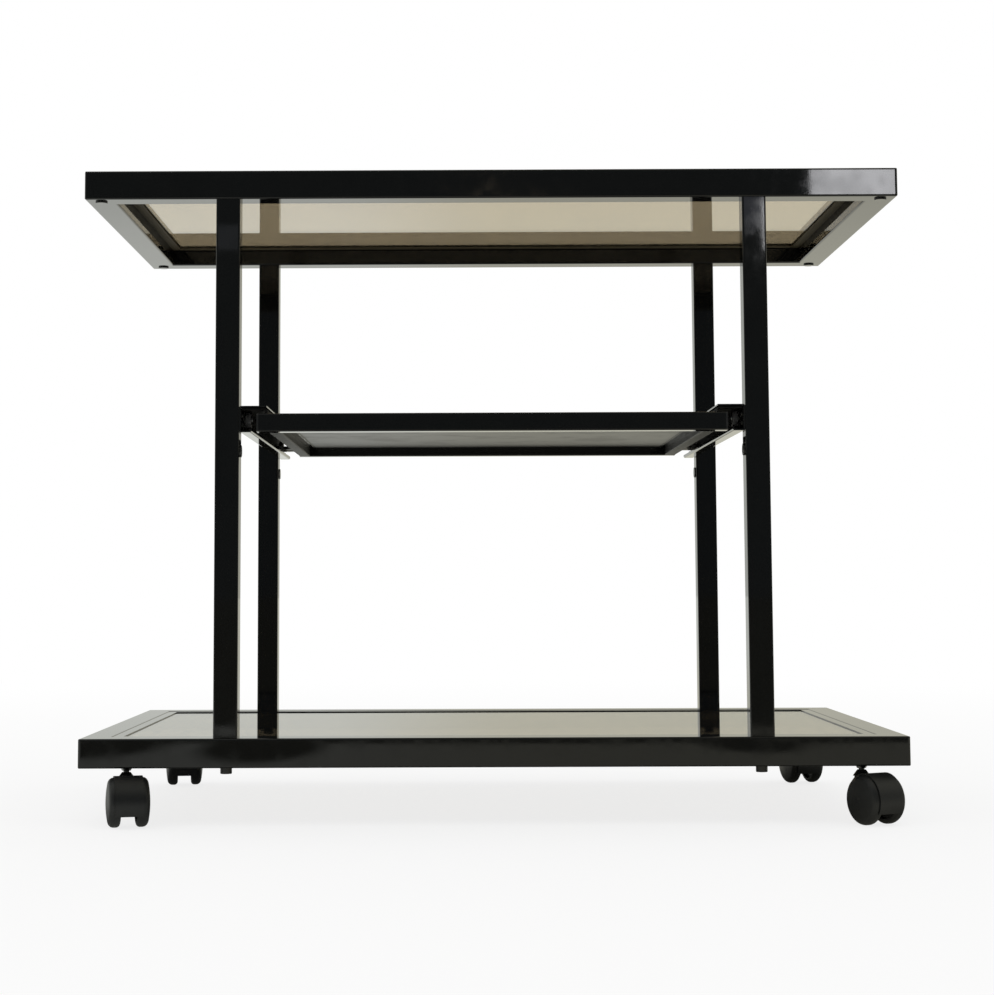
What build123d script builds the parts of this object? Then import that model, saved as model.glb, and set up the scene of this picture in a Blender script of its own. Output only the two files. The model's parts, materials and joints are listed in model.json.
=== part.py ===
from build123d import *
import os

# Bar cart of lacquered square steel tube. A top frame and a bottom frame each hold a
# smoked glass pane, four posts join them, a shelf between the posts pulls out to the
# front on roller runners, and the cart stands on four hooded twin-wheel casters.
# Millimetres, +Z up, the front faces -Y and +X is to the right seen from the front.
# The origin is on the floor under the middle of the frame.

# Frames
frame_width = 850.0
frame_depth = 480.0
rail_width = 30.0
rail_height = 30.0
rail_wall = 1.5
rail_edge_radius = 2.0
frame_corner_radius = 3.0

# Glass beds, counted up from the underside of the rails
ledge_rise = 19.0
ledge_reach = 10.0
ledge_thickness = 1.2
tape_width = 8.0
tape_thickness = 0.4
glass_thickness = 8.0
glass_edge_gap = 1.0
glass_arris = 0.6
bead_reach = 10.0
bead_thickness = 1.0
bead_gap = 0.4

# Posts
post_spread = 574.0
post_size = 25.0
post_wall = 1.5
post_edge_radius = 2.0
post_setback = 0.5
post_length = 558.0

# Bolts that hold the posts on the bottom frame
bolt_diameter = 8.0
bolt_head_diameter = 12.0
bolt_head_height = 5.5
bolt_socket_size = 5.0
bolt_socket_depth = 3.0
bolt_grip = 18.0
bolt_hole_clearance = 0.5
washer_diameter = 13.0
washer_thickness = 1.0
insert_length = 26.0
insert_clearance = 0.1
insert_chamfer = 1.0

# Plugs that close the corner holes of the top frame and the spare holes of the posts
plug_hole_diameter = 10.5
plug_head_diameter = 12.6
plug_head_thickness = 1.6
plug_depth = 5.0
plug_corner_inset = 15.5
plug_drop = 19.0

# Pull-out shelf
shelf_rise = 314.0
shelf_setback = 0.5
shelf_depth = 440.0
shelf_rail_height = 19.0
shelf_rail_width = 13.0
shelf_rail_wall = 1.2
shelf_rail_radius = 1.6
fascia_depth = 20.0
fascia_overlap = 11.0
cap_thickness = 2.0
cap_plug_length = 8.0
cap_clearance = 0.1
panel_rise = 10.0
panel_thickness = 5.0
panel_edge_gap = 0.5
panel_ledge_reach = 8.0
panel_ledge_thickness = 2.0

# Slides between the posts and the shelf
slide_width = 29.0
slide_gauge = 1.5
slide_bend = 1.3
track_setback = 2.0
track_drop = 0.5
track_height = 27.5
track_lip = 13.0
track_brow_gap = 0.6
track_curl = 3.5
runner_front_gap = 1.0
runner_foot_gap = 1.0
runner_flange_gap = 3.0
runner_notch_gap = 0.3
roller_diameter = 16.0
roller_width = 6.0
roller_offset = 3.5
roller_edge_radius = 0.8
roller_gap = 0.2
roller_side_gap = 0.3
front_roller_rise = 15.0
front_roller_inset = 34.0
rear_roller_inset = 16.0
journal_diameter = 5.0
axle_shoulder_diameter = 7.0
axle_head_diameter = 9.0
axle_head_thickness = 1.2
shelf_travel = 250.0
stop_height = 4.0
stop_width = 9.0
stop_thickness = 2.0
stop_gap = 0.5
track_tail = 5.0
screw_diameter = 4.0
screw_head_diameter = 8.0
screw_head_height = 2.4
screw_length = 9.0
screw_hole_clearance = 0.2
track_screw_low = 8.0
track_screw_high = 18.5
runner_screw_rise = 11.0
runner_screw_pitch = 150.0
runner_screw_count = 3

# Casters
caster_inset_x = 47.0
caster_inset_y = 20.0
caster_trail = 22.0
front_left_yaw = 14.0
front_right_yaw = 27.0
back_left_yaw = 9.0
back_right_yaw = 14.5
wheel_radius = 25.0
wheel_headroom = 8.5
wheel_tread = 11.2
wheel_dome = 3.0
wheel_edge_radius = 6.0
wheel_inner_radius = 4.0
wheel_rim = 5.0
wheel_recess = 4.0
wheel_hub_radius = 7.0
wheel_bore_depth = 7.0
wheel_side_clearance = 0.3
hood_width = 15.6
hood_span = 29.0
hood_shell = 1.2
hood_clearance = 0.4
hood_wall = 2.2
hood_opening = 12.5
boss_diameter = 14.8
boss_cone_height = 6.0
boss_cone_diameter = 18.0
boss_top_diameter = 9.0
stem_diameter = 8.0
stem_neck_diameter = 6.0
stem_neck = 1.7
stem_root_depth = 22.0
stem_wall = 2.6
stem_top_gap = 0.3
axle_diameter = 6.0
axle_wall = 2.5
axle_end_gap = 0.5
socket_diameter = 12.0
socket_flange_diameter = 12.8
socket_flange_thickness = 1.0
socket_tip_diameter = 9.2
socket_collar_height = 3.5
socket_top_gap = 0.3
fit_clearance = 0.05

# Levels and places that follow from the sizes above
caster_height = 2 * wheel_radius + wheel_headroom
bottom_frame_z = caster_height
bottom_frame_top = bottom_frame_z + rail_height
top_frame_z = bottom_frame_top + post_length
post_x = post_spread / 2 - post_size / 2
post_y = frame_depth / 2 - post_setback - post_size / 2
post_inner = post_spread / 2 - post_size
shelf_half = post_inner - slide_width
fascia_half = shelf_half + fascia_overlap
shelf_z = bottom_frame_top + shelf_rise
shelf_front = shelf_setback - frame_depth / 2
shelf_back = shelf_front + shelf_depth
fascia_back = shelf_front + fascia_depth
back_rail_front = shelf_back - shelf_rail_width
track_z = shelf_z - track_drop
track_front = track_setback - frame_depth / 2
roller_radius = roller_diameter / 2
front_roller_y = track_front + front_roller_inset
rear_roller_y = shelf_back - rear_roller_inset
stop_reach = roller_radius + stop_gap
rear_stop_y = rear_roller_y + stop_reach
track_back = max(-track_front, rear_stop_y + stop_thickness + track_tail)
rear_roller_rise = slide_gauge + roller_gap + roller_radius
flange_rise = front_roller_rise + roller_radius + roller_gap
cut_margin = 1.0

SIDES = ("front", "right", "back", "left")
CORNERS = {
    "front_left": (-1, -1, front_left_yaw),
    "front_right": (1, -1, front_right_yaw),
    "back_left": (-1, 1, back_left_yaw),
    "back_right": (1, 1, back_right_yaw),
}


def block(x0, x1, y0, y1, z0, z1):
    """A block between two corners."""
    return Pos((x0 + x1) / 2, (y0 + y1) / 2, (z0 + z1) / 2) * Box(x1 - x0, y1 - y0, z1 - z0)


def upright(radius, z0, z1):
    """A round bar along the Z axis."""
    return Pos(0, 0, (z0 + z1) / 2) * Cylinder(radius, z1 - z0)


def cross_bar(radius, x0, x1):
    """A round bar along the X axis."""
    return Pos((x0 + x1) / 2, 0, 0) * Rot(0, 90, 0) * Cylinder(radius, x1 - x0)


def tube_section(width, height, wall, radius):
    """The section of a square tube with rounded edges."""
    inner_radius = max(radius - wall, wall / 4)
    hollow = RectangleRounded(width - 2 * wall, height - 2 * wall, inner_radius)
    return RectangleRounded(width, height, radius) - hollow


def lying_tube(length, width, height, wall, radius):
    """A square tube along X, centred on its own axis."""
    section = Plane.YZ * tube_section(width, height, wall, radius)
    return extrude(section, length / 2, both=True)


def turn_to(side):
    """The turn about Z that brings the front side of a frame to another side."""
    return Rot(0, 0, 90 * SIDES.index(side))


def side_sizes(side, width, depth):
    """The length of one side of a rectangle and the length across it."""
    if side in ("front", "back"):
        return width, depth
    return depth, width


def mitred_strip(side, width, depth, reach, z0, z1):
    """One side of a flat rectangular band, with both ends mitred at 45 degrees."""
    length, across = side_sizes(side, width, depth)
    outer = (length / 2, -across / 2)
    inner = (length / 2 - reach, reach - across / 2)
    outline = Polyline(outer, inner, (-inner[0], inner[1]), (-outer[0], outer[1]), close=True)
    return Pos(0, 0, z0) * turn_to(side) * extrude(make_face(outline), z1 - z0)


def frame_rail(side, z0):
    """One mitred rail of a frame whose underside is at z0."""
    length, across = side_sizes(side, frame_width, frame_depth)
    tube = lying_tube(length, rail_width, rail_height, rail_wall, rail_edge_radius)
    tube = turn_to(side) * Pos(0, (rail_width - across) / 2, 0) * tube
    spread = 2 * cut_margin
    share = mitred_strip(side, frame_width + spread, frame_depth + spread, rail_width + spread,
                         -rail_height, rail_height)
    plan = RectangleRounded(frame_width, frame_depth, frame_corner_radius)
    outline = extrude(plan, rail_height, both=True)
    return Pos(0, 0, z0 + rail_height / 2) * (tube & share & outline)


def glass_bed(z0):
    """The ledge strips, tape strips, glass pane and bead strips of the frame at z0."""
    bed_width = frame_width - 2 * rail_width
    bed_depth = frame_depth - 2 * rail_width
    ledge_top = z0 + ledge_rise + ledge_thickness
    glass_z = ledge_top + tape_thickness
    glass_top = glass_z + glass_thickness
    pane_width = bed_width - 2 * glass_edge_gap
    pane_depth = bed_depth - 2 * glass_edge_gap
    bead_width = bed_width - 2 * bead_gap
    bead_depth = bed_depth - 2 * bead_gap
    ledges = []
    tapes = []
    beads = []
    for side in SIDES:
        ledges.append(mitred_strip(side, bed_width, bed_depth, ledge_reach, z0 + ledge_rise, ledge_top))
        tapes.append(mitred_strip(side, pane_width, pane_depth, tape_width, ledge_top, glass_z))
        bead_top = glass_top + bead_thickness
        beads.append(mitred_strip(side, bead_width, bead_depth, bead_reach, glass_top, bead_top))
    pane = Pos(0, 0, glass_z + glass_thickness / 2) * Box(pane_width, pane_depth, glass_thickness)
    pane = chamfer(pane.edges(), glass_arris)
    return ledges, tapes, pane, beads


def hole_plug():
    """A press-in plug: its head hangs below the Z origin and its body stands above it."""
    head = upright(plug_head_diameter / 2, -plug_head_thickness, 0)
    rim = head.edges().sort_by(Axis.Z)[0]
    head = chamfer(rim, plug_head_thickness / 8)
    body = upright(plug_hole_diameter / 2 - fit_clearance, -plug_head_thickness / 2, plug_depth)
    return head + body


def corner_plug_places():
    """Where the plugs sit under the corners of the top frame."""
    x = frame_width / 2 - plug_corner_inset
    y = frame_depth / 2 - plug_corner_inset
    return [Pos(sx * x, sy * y, top_frame_z) for sx, sy, yaw in CORNERS.values()]


def post_plug_places():
    """Where the plugs sit in the inner faces of the posts."""
    z = track_z - plug_drop
    return [Pos(sx * post_inner, sy * post_y, z) * Rot(0, sx * 90, 0) for sx, sy, yaw in CORNERS.values()]


def caster_place(sx, sy):
    """The foot of a caster's swivel axis on the floor."""
    return Pos(sx * (frame_width / 2 - caster_inset_x), sy * (frame_depth / 2 - caster_inset_y), 0)


def screw(head_side):
    """A pan-head screw along X, its head's seat at X = 0 and its head towards head_side."""
    head = cross_bar(screw_head_diameter / 2, 0, screw_head_height)
    crown = head.edges().sort_by(Axis.X)[-1]
    head = fillet(crown, screw_head_height / 2)
    shank = cross_bar(screw_diameter / 2, -screw_length, screw_head_height / 2)
    slot_width = screw_diameter / 4
    slot = block(screw_head_height / 2, screw_head_height + cut_margin,
                 -screw_diameter / 2, screw_diameter / 2, -slot_width / 2, slot_width / 2)
    recess = slot + Rot(90, 0, 0) * slot
    whole = head + shank - recess
    return whole if head_side > 0 else Rot(0, 0, 180) * whole


def screw_hole(depth):
    """The clearance hole of a screw, along X to both sides of its seat."""
    return cross_bar(screw_diameter / 2 + screw_hole_clearance, -depth, depth)


def track_screw_places(side):
    """The seats of the screws in one track, side being -1 on the left and 1 on the right."""
    x = side * (post_inner - slide_gauge)
    heights = (track_z + track_screw_low, track_z + track_screw_high)
    return [Pos(x, sy * post_y, z) for sy in (-1, 1) for z in heights]


def runner_screw_places(side):
    """The seats of the screws in one runner."""
    x = side * (shelf_half + slide_gauge)
    middle = (fascia_back + back_rail_front) / 2
    first = middle - runner_screw_pitch * (runner_screw_count - 1) / 2
    z = track_z + runner_screw_rise
    return [Pos(x, first + runner_screw_pitch * step, z) for step in range(runner_screw_count)]


def post(sx, sy):
    """One post with its screw holes and its plug hole."""
    tube = extrude(tube_section(post_size, post_size, post_wall, post_edge_radius), post_length)
    shape = Pos(sx * post_x, sy * post_y, bottom_frame_top) * tube
    for place in track_screw_places(sx):
        shape = shape - place * screw_hole(slide_gauge + 2 * post_wall)
    for place in post_plug_places():
        shape = shape - place * upright(plug_hole_diameter / 2, -cut_margin, 2 * post_wall)
    return shape


def post_insert():
    """The threaded block in the foot of a post, with its underside at Z = 0."""
    side = post_size - 2 * post_wall - 2 * insert_clearance
    body = block(-side / 2, side / 2, -side / 2, side / 2, 0, insert_length)
    body = chamfer(body.edges().filter_by(Axis.Z), insert_chamfer)
    return body - upright(bolt_diameter / 2 + fit_clearance, -cut_margin, insert_length + cut_margin)


def post_bolt():
    """A socket-head bolt with the seat of its head at Z = 0."""
    head = upright(bolt_head_diameter / 2, -bolt_head_height, 0)
    head = chamfer(head.edges().sort_by(Axis.Z)[0], washer_thickness / 2)
    key = extrude(RegularPolygon(bolt_socket_size / 2, 6, major_radius=False), bolt_socket_depth)
    shank_top = washer_thickness + rail_height + bolt_grip
    shank = upright(bolt_diameter / 2, -bolt_head_height / 4, shank_top)
    return head + shank - Pos(0, 0, -bolt_head_height) * key


def post_washer():
    """A washer that lies under the bottom frame, its top at Z = 0."""
    hole = upright(bolt_diameter / 2 + bolt_hole_clearance, -2 * washer_thickness, washer_thickness)
    return upright(washer_diameter / 2, -washer_thickness, 0) - hole


def caster_socket():
    """The sleeve in a rail that a caster's stem turns in, with the rail's underside at Z = 0."""
    top = rail_height - rail_wall - socket_top_gap
    sleeve = upright(socket_diameter / 2, -socket_flange_thickness, top)
    flange = upright(socket_flange_diameter / 2, -socket_flange_thickness, 0)
    taper = socket_collar_height - socket_flange_thickness
    collar = Cone(socket_tip_diameter / 2, socket_diameter / 2, taper)
    collar = Pos(0, 0, -socket_flange_thickness - taper / 2) * collar
    bore = upright(stem_diameter / 2 + fit_clearance, -socket_collar_height - cut_margin, rail_height)
    return sleeve + flange + collar - bore


def caster_stem():
    """The steel pin of a caster: its root in the boss, a neck and the part in the socket."""
    neck_top = caster_height - socket_collar_height
    neck_foot = neck_top - stem_neck
    top = caster_height + rail_height - rail_wall - stem_top_gap
    pin = upright(stem_diameter / 2, neck_top, top)
    pin = fillet(pin.edges().sort_by(Axis.Z)[-1], stem_diameter / 4)
    neck = upright(stem_neck_diameter / 2, neck_foot - cut_margin, neck_top + cut_margin)
    return pin + neck + upright(stem_diameter / 2, neck_foot - stem_root_depth, neck_foot)


def caster_hood():
    """The hood between and over the two wheels, with the boss that holds the stem."""
    well = wheel_radius + hood_clearance
    half = hood_width / 2
    span = hood_span / 2
    axle_place = Pos(0, -caster_trail, wheel_radius)
    boss_top = caster_height - socket_collar_height - stem_neck
    cone_foot = boss_top - boss_cone_height
    cone = Cone(boss_cone_diameter / 2, boss_top_diameter / 2, boss_cone_height)
    outer = axle_place * cross_bar(well + hood_shell, -span, span)
    outer = outer + upright(boss_diameter / 2, wheel_radius, cone_foot)
    outer = outer + Pos(0, 0, cone_foot + boss_cone_height / 2) * cone
    for start, end in ((-span - cut_margin, -half), (half, span + cut_margin)):
        outer = outer - axle_place * cross_bar(well, start, end)
    cavity = axle_place * cross_bar(wheel_radius - hood_wall, hood_wall - half, half - hood_wall)
    cavity = cavity - upright(stem_diameter / 2 + stem_wall, 0, caster_height)
    cavity = cavity - axle_place * cross_bar(axle_diameter / 2 + axle_wall, -half, half)
    reach = 2 * wheel_radius + caster_trail
    below = block(-reach, reach, -reach, reach, -reach, hood_opening)
    stem_foot = boss_top - stem_root_depth
    stem_hole = upright(stem_diameter / 2 + fit_clearance, stem_foot, caster_height)
    axle_hole = axle_place * cross_bar(axle_diameter / 2 + fit_clearance, -hood_width, hood_width)
    return outer - cavity - below - stem_hole - axle_hole


def caster_axle():
    """The steel axle through the hood and into both wheels."""
    half = hood_width / 2 + wheel_side_clearance + wheel_bore_depth - axle_end_gap
    return Pos(0, -caster_trail, wheel_radius) * cross_bar(axle_diameter / 2, -half, half)


def rim_edges(wheel):
    """The edges of a wheel's tread along X, the one next to the hood first."""
    circles = wheel.edges().filter_by(GeomType.CIRCLE)
    return circles.filter_by(lambda edge: abs(edge.radius - wheel_radius) < fit_clearance).sort_by(Axis.X)


def caster_wheel(side):
    """One wheel with a domed outer face, side being -1 on the left and 1 on the right."""
    bore = axle_diameter / 2 + fit_clearance
    crown = wheel_tread + wheel_dome
    ball = (wheel_radius ** 2 + wheel_dome ** 2) / (2 * wheel_dome)
    half_way = wheel_radius / 2
    bulge = crown - ball + (ball ** 2 - half_way ** 2) ** 0.5
    rim_inner = wheel_radius - wheel_rim
    dome = ThreePointArc((wheel_tread, wheel_radius), (bulge, half_way), (crown, 0))
    back = Polyline((crown, 0), (wheel_bore_depth, 0), (wheel_bore_depth, bore), (0, bore),
                    (0, wheel_hub_radius), (wheel_recess, wheel_hub_radius), (wheel_recess, rim_inner),
                    (0, rim_inner), (0, wheel_radius), (wheel_tread, wheel_radius))
    wheel = revolve(make_face(back + dome), Axis.X)
    wheel = fillet(rim_edges(wheel)[-1], wheel_edge_radius)
    wheel = fillet(rim_edges(wheel)[0], wheel_inner_radius)
    placed = Pos(hood_width / 2 + wheel_side_clearance, -caster_trail, wheel_radius) * wheel
    return placed if side > 0 else mirror(placed, Plane.YZ)


def slide_point(distance, y, rise):
    """A place in the left slide: distance in from the post and rise above the track's foot."""
    return Pos(distance - post_inner, y, track_z + rise)


def slide_bar(radius, start, end, y, rise):
    """A round bar across the left slide between two distances in from the post."""
    return slide_point(0, y, rise) * cross_bar(radius, start, end)


def bent_sheet(points, front, back):
    """A bent steel strip of the left slide, its middle line given as distance and rise."""
    plane = Plane(origin=(-post_inner, back, track_z), x_dir=(1, 0, 0), z_dir=(0, -1, 0))
    section = trace(FilletPolyline(*points, radius=slide_bend), slide_gauge)
    return extrude(plane * section, back - front)


def left_track():
    """The fixed channel on the left posts, with the tabs that stop the rear roller."""
    half = slide_gauge / 2
    points = [(track_lip - half, track_curl), (track_lip - half, half), (half, half),
              (half, track_height - half), (slide_width - track_brow_gap, track_height - half)]
    track = bent_sheet(points, track_front, track_back)
    out_stop_y = rear_roller_y - shelf_travel - stop_reach - stop_thickness
    for start in (out_stop_y, rear_stop_y):
        tab = block(0, stop_width, start, start + stop_thickness, half, slide_gauge + stop_height)
        middle = roller_offset + roller_width / 2 - stop_width / 2
        track = track + Pos(middle - post_inner, 0, track_z) * tab
    for place in track_screw_places(-1):
        track = track - place * screw_hole(2 * slide_gauge)
    rivet = slide_bar(journal_diameter / 2 + fit_clearance, -cut_margin, 2 * slide_gauge,
                      front_roller_y, front_roller_rise)
    return track - rivet


def left_runner():
    """The moving strip on the shelf's left side, its flange riding on the front roller."""
    half = slide_gauge / 2
    web = slide_width - half
    flange = flange_rise + half
    points = [(web, slide_gauge + runner_foot_gap), (web, flange), (runner_flange_gap, flange)]
    front = shelf_front + runner_front_gap
    runner = bent_sheet(points, front, shelf_back)
    fascia_top = shelf_rail_height + track_drop
    notch = block(-shelf_half - 2 * slide_gauge, -shelf_half + cut_margin, front - cut_margin, fascia_back,
                  track_z - cut_margin, track_z + fascia_top + runner_notch_gap)
    runner = runner - notch
    for place in runner_screw_places(-1):
        runner = runner - place * screw_hole(2 * slide_gauge)
    rivet = slide_bar(journal_diameter / 2 + fit_clearance, slide_width - 2 * slide_gauge,
                      slide_width + cut_margin, rear_roller_y, rear_roller_rise)
    return runner - rivet


def left_roller(y, rise):
    """A nylon roller of the left slide."""
    end = roller_offset + roller_width
    roller = slide_bar(roller_radius, roller_offset, end, y, rise)
    roller = fillet(roller.edges().filter_by(GeomType.CIRCLE), roller_edge_radius)
    return roller - slide_bar(journal_diameter / 2 + fit_clearance, 0, slide_width, y, rise)


def left_front_axle():
    """The rivet in the left track that the front roller turns on."""
    near = roller_offset - roller_side_gap
    far = roller_offset + roller_width + roller_side_gap
    where = (front_roller_y, front_roller_rise)
    axle = slide_bar(journal_diameter / 2, 0, far + axle_head_thickness, *where)
    axle = axle + slide_bar(axle_shoulder_diameter / 2, slide_gauge, near, *where)
    return axle + slide_bar(axle_head_diameter / 2, far, far + axle_head_thickness, *where)


def left_rear_axle():
    """The rivet in the left runner that the rear roller turns on."""
    near = roller_offset - roller_side_gap
    far = roller_offset + roller_width + roller_side_gap
    where = (rear_roller_y, rear_roller_rise)
    axle = slide_bar(journal_diameter / 2, near - axle_head_thickness, slide_width, *where)
    axle = axle + slide_bar(axle_shoulder_diameter / 2, far, slide_width - slide_gauge, *where)
    return axle + slide_bar(axle_head_diameter / 2, near - axle_head_thickness, near, *where)


def shelf_cross_rail(half_length, depth, front):
    """A rail of the shelf along X, with its front face at the given Y."""
    tube = lying_tube(2 * half_length, depth, shelf_rail_height, shelf_rail_wall, shelf_rail_radius)
    return Pos(0, front + depth / 2, shelf_z + shelf_rail_height / 2) * tube


def shelf_side_rail(side):
    """A rail of the shelf along Y, with the holes of the runner's screws."""
    length = back_rail_front - fascia_back
    tube = lying_tube(length, shelf_rail_width, shelf_rail_height, shelf_rail_wall, shelf_rail_radius)
    middle = Pos(side * (shelf_half - shelf_rail_width / 2), (fascia_back + back_rail_front) / 2,
                 shelf_z + shelf_rail_height / 2)
    rail = middle * Rot(0, 0, 90) * tube
    for place in runner_screw_places(side):
        rail = rail - place * screw_hole(slide_gauge + 2 * shelf_rail_wall)
    return rail


def end_cap(side, half_length, depth, front):
    """The cap in one end of a rail of the shelf that lies along X."""
    plate = extrude(Plane.YZ * RectangleRounded(depth, shelf_rail_height, shelf_rail_radius), cap_thickness)
    inset = 2 * (shelf_rail_wall + cap_clearance)
    body = Box(cap_plug_length + cap_thickness / 2, depth - inset, shelf_rail_height - inset)
    body = chamfer(body.edges().filter_by(Axis.X), shelf_rail_wall / 2)
    body = Pos(cap_thickness / 4 - cap_plug_length / 2, 0, 0) * body
    turn = Rot(0, 0, 0) if side > 0 else Rot(0, 0, 180)
    place = Pos(side * half_length, front + depth / 2, shelf_z + shelf_rail_height / 2)
    return place * turn * (plate + body)


def shelf_bed():
    """The ledge strips of the shelf and the panel that lies on them."""
    width = 2 * (shelf_half - shelf_rail_width)
    depth = back_rail_front - fascia_back
    panel_z = shelf_z + panel_rise
    middle = Pos(0, (fascia_back + back_rail_front) / 2, 0)
    ledge_z = panel_z - panel_ledge_thickness
    ledges = [middle * mitred_strip(side, width, depth, panel_ledge_reach, ledge_z, panel_z) for side in SIDES]
    panel = Box(width - 2 * panel_edge_gap, depth - 2 * panel_edge_gap, panel_thickness)
    return ledges, middle * Pos(0, 0, panel_z + panel_thickness / 2) * panel


def both_sides(left):
    """A piece of the left slide and its mirror image on the right."""
    return [left, mirror(left, Plane.YZ)]


def save(node, *pieces):
    """Write one node, which is a single solid or a group of separate ones."""
    shape = pieces[0] if len(pieces) == 1 else Compound(children=list(pieces))
    export_step(shape, f"parts/{node}.step")


def save_frames():
    """Write the rails and glass beds of both frames."""
    tapes = []
    for name, z0 in (("top", top_frame_z), ("bottom", bottom_frame_z)):
        for side in SIDES:
            rail = frame_rail(side, z0)
            if name == "top":
                for place in corner_plug_places():
                    rail = rail - place * upright(plug_hole_diameter / 2, -cut_margin, 2 * rail_wall)
            else:
                rail = drill_bottom_rail(rail)
            save(f"{name}_{side}_rail", rail)
        ledges, strips, pane, beads = glass_bed(z0)
        tapes += strips
        save(f"{name}_glass_ledges", *ledges)
        save(f"{name}_glass", pane)
        save(f"{name}_glazing_beads", *beads)
    save("glass_tapes", *tapes)
    plug_places = corner_plug_places() + post_plug_places()
    save("hole_plugs", *[place * hole_plug() for place in plug_places])


def drill_bottom_rail(rail):
    """Cut the holes of the post bolts and of the caster sockets in a bottom rail."""
    foot = bottom_frame_z - cut_margin
    for sx, sy, yaw in CORNERS.values():
        bolt_hole = upright(bolt_diameter / 2 + bolt_hole_clearance, foot, bottom_frame_top + cut_margin)
        rail = rail - Pos(sx * post_x, sy * post_y, 0) * bolt_hole
        socket_hole = upright(socket_diameter / 2 + fit_clearance, foot, bottom_frame_z + 2 * rail_wall)
        rail = rail - caster_place(sx, sy) * socket_hole
    return rail


def save_posts():
    """Write the posts and what fastens them to the bottom frame."""
    inserts = []
    bolts = []
    washers = []
    sockets = []
    for name, (sx, sy, yaw) in CORNERS.items():
        save(f"{name}_post", post(sx, sy))
        axis = Pos(sx * post_x, sy * post_y, bottom_frame_z)
        inserts.append(axis * Pos(0, 0, rail_height) * post_insert())
        washers.append(axis * post_washer())
        bolts.append(axis * Pos(0, 0, -washer_thickness) * post_bolt())
        sockets.append(caster_place(sx, sy) * Pos(0, 0, bottom_frame_z) * caster_socket())
    save("post_inserts", *inserts)
    save("post_bolts", *bolts)
    save("post_washers", *washers)
    save("caster_sockets", *sockets)


def save_slides():
    """Write the tracks, runners, rollers, axles and screws of both slides."""
    front_roller = left_roller(front_roller_y, front_roller_rise)
    rear_roller = left_roller(rear_roller_y, rear_roller_rise)
    pieces = {"track": left_track(), "runner": left_runner(),
              "front_roller": front_roller, "rear_roller": rear_roller}
    for name, piece in pieces.items():
        left, right = both_sides(piece)
        save(f"left_{name}", left)
        save(f"right_{name}", right)
    save("front_roller_axles", *both_sides(left_front_axle()))
    save("rear_roller_axles", *both_sides(left_rear_axle()))
    track_screws = []
    runner_screws = []
    for side in (-1, 1):
        track_screws += [place * screw(-side) for place in track_screw_places(side)]
        runner_screws += [place * screw(side) for place in runner_screw_places(side)]
    save("track_screws", *track_screws)
    save("runner_screws", *runner_screws)


def save_shelf():
    """Write the rails, caps, ledges and panel of the pull-out shelf."""
    fascia_tube = fascia_half - cap_thickness
    back_tube = shelf_half - cap_thickness
    save("shelf_front_rail", shelf_cross_rail(fascia_tube, fascia_depth, shelf_front))
    save("shelf_back_rail", shelf_cross_rail(back_tube, shelf_rail_width, back_rail_front))
    save("shelf_left_rail", shelf_side_rail(-1))
    save("shelf_right_rail", shelf_side_rail(1))
    caps = []
    for side in (-1, 1):
        caps.append(end_cap(side, fascia_tube, fascia_depth, shelf_front))
        caps.append(end_cap(side, back_tube, shelf_rail_width, back_rail_front))
    save("shelf_end_caps", *caps)
    ledges, panel = shelf_bed()
    save("shelf_ledges", *ledges)
    save("shelf_panel", panel)


def save_casters():
    """Write the hood, the pins and the two wheels of each caster at its own swivel angle."""
    hood = caster_hood()
    stem = caster_stem()
    axle = caster_axle()
    wheels = {"left": caster_wheel(-1), "right": caster_wheel(1)}
    for name, (sx, sy, yaw) in CORNERS.items():
        place = caster_place(sx, sy) * Rot(0, 0, yaw)
        save(f"{name}_caster_hood", place * hood)
        save(f"{name}_caster_pins", place * stem, place * axle)
        for side, wheel in wheels.items():
            save(f"{name}_caster_{side}_wheel", place * wheel)


os.makedirs("parts", exist_ok=True)
save_frames()
save_posts()
save_slides()
save_shelf()
save_casters()
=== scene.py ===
"""Looks of the bar cart: the finishes of its pieces, the studio floor, the light and the camera.

Lengths are in metres. In a finish, gloss is the least roughness and haze the greatest.
"""
import json
import logging
import math
from abc import ABC, abstractmethod
from dataclasses import dataclass
from enum import Enum
from typing import Iterable, Optional, Union

import bpy
from mathutils import Matrix, Vector


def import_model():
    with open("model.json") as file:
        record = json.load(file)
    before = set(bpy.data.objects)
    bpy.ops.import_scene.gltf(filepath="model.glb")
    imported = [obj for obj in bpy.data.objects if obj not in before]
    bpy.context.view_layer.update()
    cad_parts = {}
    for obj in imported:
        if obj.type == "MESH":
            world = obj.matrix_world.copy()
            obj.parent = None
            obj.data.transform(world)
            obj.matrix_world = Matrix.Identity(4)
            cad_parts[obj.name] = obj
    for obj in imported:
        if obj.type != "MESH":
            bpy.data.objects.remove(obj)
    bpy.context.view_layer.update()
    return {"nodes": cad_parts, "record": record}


Colour = tuple[float, float, float]
Point = tuple[float, float, float]
Span = tuple[float, float]
Feed = Union[bpy.types.NodeSocket, float, tuple]

LOG = logging.getLogger("bar_cart")
FLOOR_Z = 0.0
WHITE: Colour = (1.0, 1.0, 1.0)
BLACK: Colour = (0.0, 0.0, 0.0)
# Noise with no finer layers in it.
SMOOTH = 1.0
# The part of a speck's radius that is solid. The rest fades out.
SPECK_CORE = 0.6
# A mix node has sockets of one name for every kind of value, so those for colour go by number.
MIX_SHARE, MIX_FIRST, MIX_SECOND, MIX_RESULT = 0, 6, 7, 2


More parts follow.
